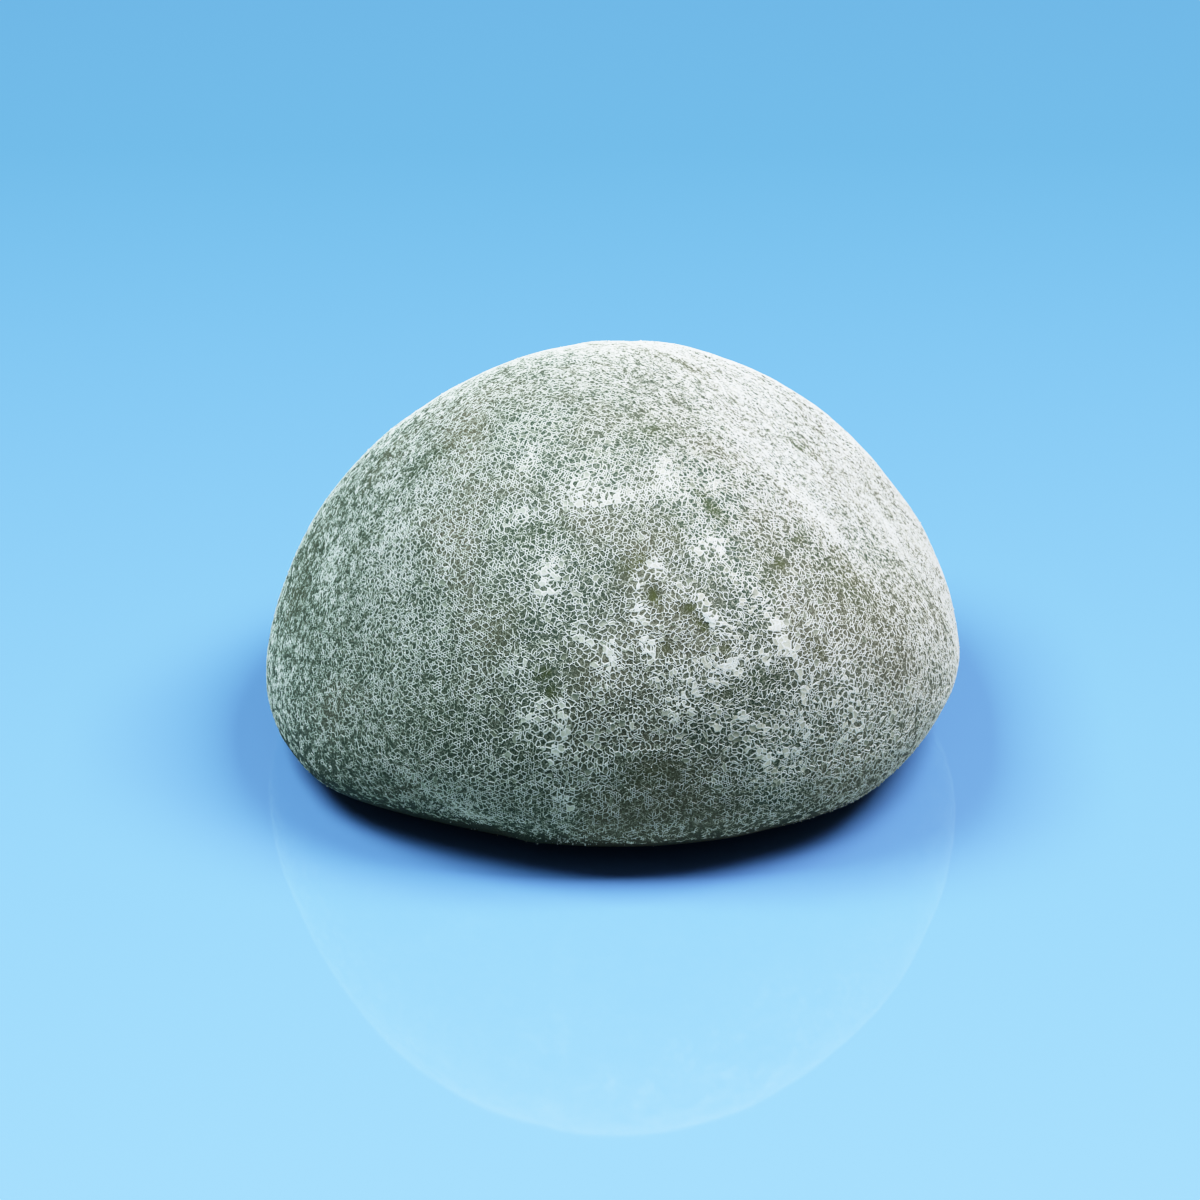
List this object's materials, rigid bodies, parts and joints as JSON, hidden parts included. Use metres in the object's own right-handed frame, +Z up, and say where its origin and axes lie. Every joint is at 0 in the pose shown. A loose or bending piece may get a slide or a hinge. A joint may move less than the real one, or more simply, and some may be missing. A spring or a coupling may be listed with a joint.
{
  "type": "mochi rice cake",
  "caption": "Lopsided dome of soft green tea rice dough, dusted with white starch that has dried into a fine crackle, resting on a flat foot.",
  "frame": {"origin": "middle of the cake's box at its base, on the plane of the flat foot", "axes": "+Z up; +X towards the straight, pressed shoulder; -Y towards the side that the crown leans to, which is the side that is shown"},
  "size_m": [0.0494, 0.049, 0.0288],
  "materials": {
    "dusted_dough": "matte"
  },
  "bodies": {
    "root": {"mochi": "dusted_dough"}
  },
  "joints": []
}
